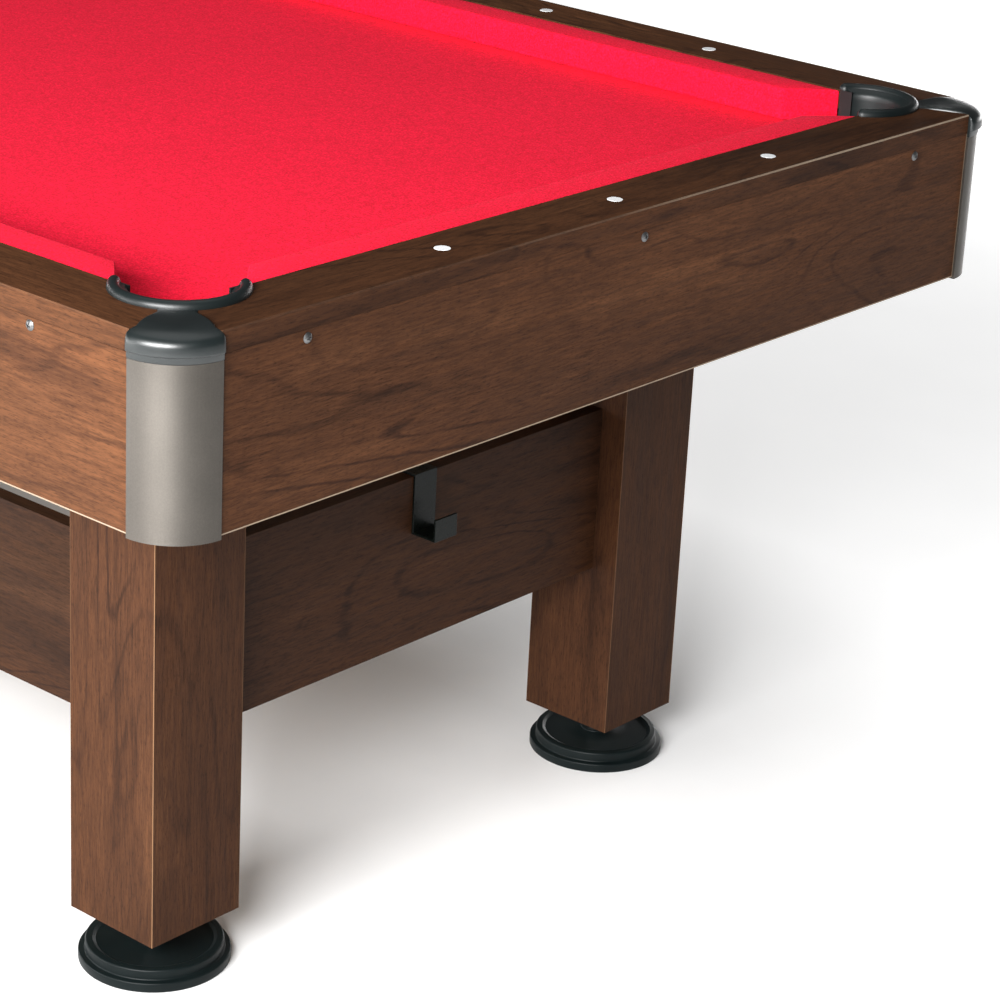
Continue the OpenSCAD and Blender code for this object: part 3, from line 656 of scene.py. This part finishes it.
def make_cushions():
    corner_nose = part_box("cushion_back_right")[1].x - CORNER_FLARE
    side_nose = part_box("cushion_back_right")[0].x + SIDE_FLARE
    end_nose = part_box("cushion_end_right")[1].y - CORNER_FLARE
    long_mesh = cushion_mesh(side_nose, corner_nose, SIDE_FLARE, CORNER_FLARE,
                             lambda s, w, z: (s, NOSE_Y + w, z))
    end_mesh = cushion_mesh(-end_nose, end_nose, CORNER_FLARE, CORNER_FLARE,
                            lambda s, w, z: (NOSE_X + w, s, z))
    end_mesh = (end_mesh[0], [tuple(reversed(f)) for f in end_mesh[1]])
    parts = [(f"cushion_{corner}", long_mesh, sign) for corner, sign in CORNERS.items()]
    parts += [("cushion_end_right", end_mesh, (1, 1)), ("cushion_end_left", end_mesh, (-1, 1))]
    for node, (verts, faces), (sx, sy) in parts:
        piece = add_piece(f"covered_{node}", *mirrored(verts, faces, sx, sy),
                          CUSHION_CLOTH, "red_cloth", 60)
        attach(piece, "root")
        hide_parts(node)


# ---- Pocket liners ----

WALL_R = 44 * MM
WALL_T = 3.5 * MM
LIP_HALF = 6 * MM
LIP_RISE = 7.4 * MM
LIP_SWEEP = 196
WALL_SWEEP = 190.6
WING_T = 2.2 * MM
WING_GAP = 0.6 * MM
WING_REACH = 31.6 * MM
WING_LOW, WING_HIGH = BED_TOP + 0.3 * MM, RAIL_TOP + 0.4 * MM
WING_IN, WING_OUT = WOOD_Y - WING_T - SLIP, WOOD_Y - SLIP
LIP_STEPS = 64


def block(low, high):
    """Plain box between two corners."""
    verts = [(x, y, z) for x in (low[0], high[0]) for y in (low[1], high[1])
             for z in (low[2], high[2])]
    return verts, [(0, 1, 3, 2), (4, 6, 7, 5), (0, 4, 5, 1), (2, 3, 7, 6), (0, 2, 6, 4),
                   (1, 5, 7, 3)]


def liner_mesh(centre, facing):
    """Rolled lip with rounded ends over a round-backed bucket; facing is the back's angle."""
    mid_r = LIP_R - LIP_HALF
    base = RAIL_TOP + 0.1 * MM

    def section(scale):
        top = [(LIP_HALF * scale * math.cos(a), LIP_RISE * scale ** 0.8 * math.sin(a))
               for a in [math.radians(d) for d in range(0, 181, 10)]]
        return [(mid_r + r, base + z) for r, z in top]

    start = facing - LIP_SWEEP / 2
    round_angle = math.degrees(LIP_HALF / mid_r)
    stations = []
    for d in (2, 20, 40, 60, 80):
        a = math.radians(d)
        stations.append((-round_angle * math.cos(a), math.sin(a)))
    stations += [(LIP_SWEEP * i / LIP_STEPS, 1.0) for i in range(LIP_STEPS + 1)]
    for d in (80, 60, 40, 20, 2):
        a = math.radians(d)
        stations.append((LIP_SWEEP + round_angle * math.cos(a), math.sin(a)))
    rings = []
    for turn, scale in stations:
        a = math.radians(start + turn)
        rings.append([(centre[0] + r * math.cos(a), centre[1] + r * math.sin(a), z)
                      for r, z in section(scale)])
    lip = loft(rings)
    floor_z = LINER_BOTTOM + 1 * MM
    throat = [(WALL_R + WALL_T, floor_z), (WALL_R + WALL_T, base),
              (mid_r - 2 * MM, base), (mid_r - LIP_HALF * 0.8, base + 3.4 * MM),
              (WALL_R + 3.4 * MM, base + 0.6 * MM), (WALL_R + 1.2 * MM, base - 1.6 * MM),
              (WALL_R + 0.3 * MM, base - 4.5 * MM), (WALL_R, base - 9 * MM), (WALL_R, floor_z)]
    upper = lathe(throat, centre, facing - WALL_SWEEP / 2, facing + WALL_SWEEP / 2, LIP_STEPS)
    ring_top = BOARD_TOP - 2 * MM
    collar = [(WALL_R + WALL_T - 0.2 * MM, floor_z), (WALL_R + WALL_T - 0.2 * MM, ring_top),
              (WALL_R + 0.4 * MM, ring_top), (WALL_R + 0.2 * MM, floor_z)]
    lower = lathe(collar, centre, 0, 360, 96)
    return joined(lip, upper, lower)


def corner_wings():
    """Flat ends of the liner that lie on the rails between it and the cushions."""
    reach = POCKET_X - WING_REACH
    shift = WOOD_X - WOOD_Y
    along_x = block((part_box("cushion_back_right")[1].x + WING_GAP, WING_IN, WING_LOW),
                    (reach, WING_OUT, WING_HIGH))
    along_y = block((WING_IN + shift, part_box("cushion_end_right")[1].y + WING_GAP, WING_LOW),
                    (WING_OUT + shift, reach - shift, WING_HIGH))
    return joined(along_x, along_y)


def side_wings():
    """The same for a side pocket, one to each side of the liner."""
    near_x = WALL_R + WALL_T - 0.5 * MM
    far_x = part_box("cushion_back_right")[0].x - WING_GAP
    return joined(block((near_x, WING_IN, WING_LOW), (far_x, WING_OUT, WING_HIGH)),
                  block((-far_x, WING_IN, WING_LOW), (-near_x, WING_OUT, WING_HIGH)))


def make_liners():
    for corner, (sx, sy) in CORNERS.items():
        verts, faces = joined(liner_mesh((POCKET_X, POCKET_Y), 45), corner_wings())
        piece = add_piece(f"liner_{corner}", *mirrored(verts, faces, sx, sy),
                          LINER_PLASTIC, "black_plastic", 40)
        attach(piece, "root")
        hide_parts(f"corner_pocket_{corner}")
    for side, sy in (("front", -1), ("back", 1)):
        verts, faces = joined(liner_mesh((0, WOOD_Y), 90), side_wings())
        piece = add_piece(f"liner_side_{side}", *mirrored(verts, faces, 1, sy),
                          LINER_PLASTIC, "black_plastic", 40)
        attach(piece, "root")
        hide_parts(f"side_pocket_{side}")


# ---- Corner caps ----

# All in mm. The crown is a superellipse from CROWN_START to the rim
CROWN_START = 14
CROWN_DROP = 19
CROWN_POWER = 3.5
RIM_R = 2.8
FLANK_R = 57.5
FLANK_ROUND = 5
COLLAR_R = 57.9
TUCK_R = 2.2
CAP_INNER_R = 51.2
ARC_STEPS = 40
# One edge of the cap's top about the corner's turning centre, from the neck outwards
CAP_EDGE = [(2, -22), (5, -19), (8, -16), (13.5, -14), (19, -12), (24, -10.4), (28, -9),
            (33, -7.2), (38, -5), (42, -2.8), (45, -0.9), (47.5, -0.2), (50, 0), (52.5, 0),
            (55, 0), (57, 0), (58.6, 0), (59.8, 0), (60.7, 0), (61.2, 0)]
FIRST_ON_AXIS = 12
NECK_APEX = [-13.6, -8, -0.7, 8.5, 18]
NECK_FALL = [2.5, 2.2, 1.7, 1.1, 0.6, 0.3, 0.1]


def cap_rows():
    """Rows (edge x, edge y, apex, height) in mm from the neck over the crown to the foot."""
    out = CAP_R / MM
    top = CAP_TOP / MM
    rows = []
    for i, (x, y) in enumerate(CAP_EDGE):
        r = math.hypot(x, y)
        over = max(0.0, r - CROWN_START) / (out - CROWN_START)
        height = top - CROWN_DROP * (1 - (1 - over ** CROWN_POWER) ** (1 / CROWN_POWER))
        if i < len(NECK_FALL):
            height -= NECK_FALL[i]
        rows.append((x, y, NECK_APEX[i] if i < len(NECK_APEX) else r, height))
    foot = CAP_BOTTOM / MM + 0.1
    below = arc((out - TUCK_R, top - CROWN_DROP), TUCK_R, 0, -90, 6)
    tuck = below[-1][1]
    below += [(COLLAR_R + 0.3, tuck - 0.2), (COLLAR_R, tuck - 0.8), (COLLAR_R, foot + 0.5),
              (COLLAR_R - 0.5, foot), (CAP_INNER_R, foot), (CAP_INNER_R, RAIL_BOTTOM / MM)]
    return rows + [(r, 0, r, z) for r, z in below]


def row_points(x, y, apex, height):
    """Points on the arc from one edge of the cap to the other, with its rims rounded."""
    chord = math.hypot(x - y, y - x) / 2
    rise = max(apex - (x + y) / math.sqrt(2), 0.5)
    radius = (chord * chord + rise * rise) / (2 * rise)
    half = math.asin(min(1.0, chord / radius))
    if rise > radius:
        half = math.pi - half
    length = 2 * half * radius
    floor_z = min(RAIL_TOP / MM + 0.1, height)
    below = min(1.0, (RAIL_TOP / MM + 0.1 - floor_z) / FLANK_ROUND)
    inset = max(0.4, radius - FLANK_R) * math.sqrt(1 - (1 - below) ** 2)
    rim = RIM_R if floor_z < height else FLANK_ROUND
    steps = [rim * share for share in (0, 0.09, 0.29, 0.6, 1)]
    middle = [rim + (length - 2 * rim) * i / ARC_STEPS for i in range(1, ARC_STEPS)]
    places = steps + middle + [length - d for d in reversed(steps)]
    centre = (apex - radius) / math.sqrt(2)
    points = []
    for place in places:
        turn = math.radians(45) - half + place / radius
        near_edge = min(place, length - place, rim) / rim
        lift = math.sqrt(max(0.0, 1 - (1 - near_edge) ** 2))
        r = radius - inset * (1 - lift)
        points.append((centre + r * math.cos(turn), centre + r * math.sin(turn),
                       floor_z + (height - floor_z) * lift))
    return points


def cap_mesh():
    rows = [row_points(*row) for row in cap_rows()]
    count = len(rows[0])
    verts = [(TURN_X + x * MM, TURN_Y + y * MM, z * MM) for row in rows for x, y, z in row]
    faces = []
    for i in range(len(rows) - 1):
        a, b = i * count, (i + 1) * count
        faces += [(a + j, b + j, b + j + 1, a + j + 1) for j in range(count - 1)]
    flank = range(FIRST_ON_AXIS, len(rows))
    faces.append(tuple(i * count for i in reversed(flank)))
    faces.append(tuple(i * count + count - 1 for i in flank))
    return verts, faces


def make_caps():
    verts, faces = cap_mesh()
    for corner, (sx, sy) in CORNERS.items():
        piece = add_piece(f"cap_{corner}", *mirrored(verts, faces, sx, sy),
                          CAP_PLASTIC, "black_plastic", 50)
        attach(piece, "root")
        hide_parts(f"corner_cap_{corner}")


# ---- Leveller pads ----

def pad_mesh():
    """Domed foot with a raised ring, a rounded foot edge and a central socket."""
    cx = (PAD_LOW.x + PAD_HIGH.x) / 2
    cy = (PAD_LOW.y + PAD_HIGH.y) / 2
    r = (PAD_HIGH.x - PAD_LOW.x) / 2
    top = PAD_HIGH.z - 3 * MM
    hole = 6.1 * MM
    section = [(hole, 7 * MM), (0.2 * MM, 7 * MM), (0.2 * MM, 0)]
    section += arc((r - 1.5 * MM, 1.5 * MM), 1.5 * MM, -90, 0, 4)
    section += arc((r - 1.8 * MM, 9.0 * MM), 1.8 * MM, 0, 70, 4)
    section += arc((r - 5.0 * MM, 12.4 * MM), 2.0 * MM, 250, 180, 4)
    section += arc((r - 9.5 * MM, top - 2.6 * MM), 2.6 * MM, 10, 90, 5)
    section += arc((r - 14 * MM, top - 0.6 * MM), 1.2 * MM, 60, 130, 3)
    section += [(r - 18 * MM, top - 1.6 * MM), (40 * MM, top - 0.9 * MM),
                (24 * MM, top - 0.2 * MM)]
    section += arc((17 * MM, PAD_HIGH.z - 1.2 * MM), 1.2 * MM, 0, 90, 4)
    section += [(hole, PAD_HIGH.z)]
    section.reverse()
    return lathe(section, (cx, cy), 0, 360, 128)


def make_pads():
    verts, faces = pad_mesh()
    faces = [tuple(reversed(f)) for f in faces]
    for corner, (sx, sy) in CORNERS.items():
        piece = add_piece(f"pad_{corner}", *mirrored(verts, faces, sx, sy),
                          PAD_PLASTIC, "black_plastic", 32)
        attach(piece, f"pad_{corner}")
        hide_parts(f"leveller_pad_{corner}")


make_bed_cloth()
make_cushions()
make_liners()
make_caps()
make_pads()


# ---- Floor, lights and camera ----

FLOOR_SIZE = 60
FLOOR_GLOW = 0.48
# Half sizes of the painted shadow under the table, where the floor does not glow, and the
# distances past it at which the glow starts and is full
PAINTED_SHADOW_X, PAINTED_SHADOW_Y = 0.75, 0.30
GLOW_RISE = (0.05, 0.75)


def make_floor():
    """Pale floor, a little self-lit away from the table so that it stays near white; with no glow
    under the table it has a painted shadow there.
    """
    bpy.ops.mesh.primitive_plane_add(size=FLOOR_SIZE, location=(0, 0, 0))
    floor = bpy.context.object
    floor.name = "floor"
    material, tree, shader = new_material("floor")
    coords = object_coords(tree)
    speck = noise(tree, coords, 6.0, 3.0, 0.5)
    tree.links.new(ramp(tree, speck, [(0.3, (0.80, 0.80, 0.80)), (0.7, (0.84, 0.84, 0.84))]),
                   shader.inputs["Base Color"])
    shader.inputs["Roughness"].default_value = 0.9
    shader.inputs["Specular IOR Level"].default_value = 0.1
    shader.inputs["Emission Color"].default_value = (1.0, 1.0, 1.0, 1)
    x, y, _ = absolute_axes(tree, coords)
    past_x = maths(tree, "MAXIMUM", maths(tree, "SUBTRACT", x, PAINTED_SHADOW_X), 0.0)
    past_y = maths(tree, "MAXIMUM", maths(tree, "SUBTRACT", y, PAINTED_SHADOW_Y), 0.0)
    away = maths(tree, "SQRT", maths(tree, "ADD", maths(tree, "MULTIPLY", past_x, past_x),
                                     maths(tree, "MULTIPLY", past_y, past_y)))
    # No glow near the table: a painted shadow under it
    glow = ramp(tree, away, [(GLOW_RISE[0], (0.0,) * 3), (GLOW_RISE[1], (FLOOR_GLOW,) * 3)])
    tree.links.new(glow, shader.inputs["Emission Strength"])
    floor.data.materials.append(material)


WORLD_STRENGTH = 0.07
# Name, place, target, size and power. The back and left fills are centred below the rail
# tops, so that the level faces mirror little of them
LIGHTS = [
    ("key", (1.80, -3.02, 1.88), (0.9, -0.3, 0.6), (2.3, 1.0), 310),
    ("left_front_fill", (-2.0, -3.6, 1.0), (0.6, -0.4, 0.5), (4.0, 1.6), 140),
    ("overhead", (0.0, 0.4, 5.5), (0.0, 0.2, 0.7), (5.0, 4.0), 60),
    ("back_fill", (0.0, 4.5, 0.72), (0.0, 0.0, 0.5), (3.0, 0.6), 60),
    ("left_fill", (-5.0, 0.0, 0.72), (0.0, 0.0, 0.5), (2.5, 0.6), 60),
]


def area_light(name, place, target, size, power):
    data = bpy.data.lights.new(name, "AREA")
    data.shape = "RECTANGLE"
    data.size, data.size_y = size
    data.energy = power
    light = bpy.data.objects.new(name, data)
    light.location = place
    light.visible_camera = False
    light.rotation_euler = (Vector(target) - Vector(place)).to_track_quat("-Z", "Y").to_euler()
    bpy.context.scene.collection.objects.link(light)


def make_lights():
    world = bpy.data.worlds.new("studio")
    bpy.context.scene.world = world
    world.use_nodes = True
    background = world.node_tree.nodes["Background"]
    background.inputs["Color"].default_value = (1.0, 1.0, 1.0, 1)
    background.inputs["Strength"].default_value = WORLD_STRENGTH
    for name, place, target, size, power in LIGHTS:
        area_light(name, place, target, size, power)


CAMERA_PLACE = (2.8430, -2.2541, 1.6104)
CAMERA_AZIMUTH, CAMERA_PITCH, CAMERA_ROLL = 40.07, 21.58, 2.97
CAMERA_LENS, CAMERA_SENSOR = 110.94, 36.0


def make_camera():
    a, e, r = [math.radians(v) for v in (CAMERA_AZIMUTH, CAMERA_PITCH, CAMERA_ROLL)]
    back = Vector((math.sin(a) * math.cos(e), -math.cos(a) * math.cos(e), math.sin(e)))
    right = Vector((0, 0, 1)).cross(back).normalized()
    up = back.cross(right)
    rolled_right = right * math.cos(r) + up * math.sin(r)
    rolled_up = up * math.cos(r) - right * math.sin(r)
    data = bpy.data.cameras.new("camera")
    data.lens = CAMERA_LENS
    data.sensor_width = CAMERA_SENSOR
    data.clip_end = 100
    camera = bpy.data.objects.new("camera", data)
    matrix = Matrix((rolled_right, rolled_up, back)).transposed().to_4x4()
    matrix.translation = CAMERA_PLACE
    camera.matrix_world = matrix
    bpy.context.scene.collection.objects.link(camera)
    bpy.context.scene.camera = camera


make_floor()
make_lights()
make_camera()
bpy.context.scene.view_settings.view_transform = "Standard"
